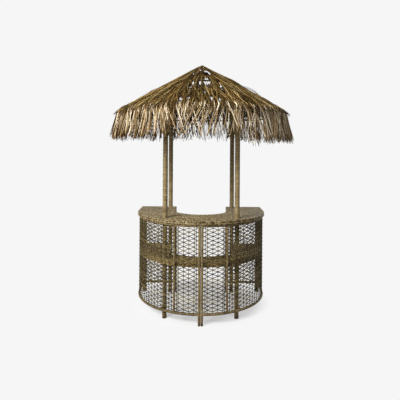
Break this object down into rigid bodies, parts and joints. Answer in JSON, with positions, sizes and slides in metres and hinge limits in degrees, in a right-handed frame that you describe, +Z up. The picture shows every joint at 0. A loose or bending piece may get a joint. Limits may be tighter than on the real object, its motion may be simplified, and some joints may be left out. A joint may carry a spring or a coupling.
{
  "type": "thatched garden bar",
  "caption": "Half-round woven wicker garden bar with inner shelves, under a round thatched roof carried on poles.",
  "frame": {"origin": "on the floor, under the roof's apex and midway between the four poles", "axes": "+Z up; -Y towards the guests at the round front of the counter; +Y towards the open back, where the server stands; +X to the right as a guest sees it"},
  "size_m": [1.906, 1.9056, 2.606],
  "materials": {
    "wrapped_tube": "matte",
    "woven_openwork": "matte",
    "woven_board": "matte",
    "bracket_paint": "satin",
    "roof_frame_paint": "satin",
    "thatch": "matte",
    "foot_rubber": "matte",
    "bright_steel": "satin"
  },
  "bodies": {
    "root": {"apex_hub": "roof_frame_paint", "bottom_rail_left": "wrapped_tube", "bottom_rail_right": "wrapped_tube", "center_bolts": "bright_steel", "center_leg_left": "wrapped_tube", "center_leg_right": "wrapped_tube", "center_spacers": "bright_steel", "corner_leg_left": "wrapped_tube", "corner_leg_right": "wrapped_tube", "counter_center": "woven_board", "counter_left": "woven_board", "counter_right": "woven_board", "counter_screws": "bright_steel", "eave_hoop": "roof_frame_paint", "front_pole_left": "wrapped_tube", "front_pole_right": "wrapped_tube", "front_weave_left": "woven_openwork", "front_weave_right": "woven_openwork", "inner_leg_left": "wrapped_tube", "inner_leg_right": "wrapped_tube", "large_feet": "foot_rubber", "middle_hoop": "roof_frame_paint", "pole_bolts": "bright_steel", "pole_saddles": "roof_frame_paint", "pole_ties": "wrapped_tube", "rafter_1": "roof_frame_paint", "rafter_2": "roof_frame_paint", "rafter_3": "roof_frame_paint", "rafter_4": "roof_frame_paint", "rafter_5": "roof_frame_paint", "rafter_6": "roof_frame_paint", "rafter_7": "roof_frame_paint", "rafter_8": "roof_frame_paint", "rafter_screws": "bright_steel", "rear_bottom_rail_left": "wrapped_tube", "rear_bottom_rail_right": "wrapped_tube", "rear_pole_left": "wrapped_tube", "rear_pole_right": "wrapped_tube", "rear_top_rail_left": "wrapped_tube", "rear_top_rail_right": "wrapped_tube", "rear_weave_left": "woven_openwork", "rear_weave_right": "woven_openwork", "roof_ring": "roof_frame_paint", "shelf_brackets": "bracket_paint", "shelf_center": "woven_board", "shelf_left": "woven_board", "shelf_right": "woven_board", "side_weave_left": "woven_openwork", "side_weave_right": "woven_openwork", "small_feet": "foot_rubber", "stile_left": "wrapped_tube", "stile_right": "wrapped_tube", "thatch_cap": "thatch", "thatch_fringe": "thatch", "thatch_lower": "thatch", "thatch_upper": "thatch", "top_rail_left": "wrapped_tube", "top_rail_right": "wrapped_tube", "upper_hoop": "roof_frame_paint"}
  },
  "joints": []
}
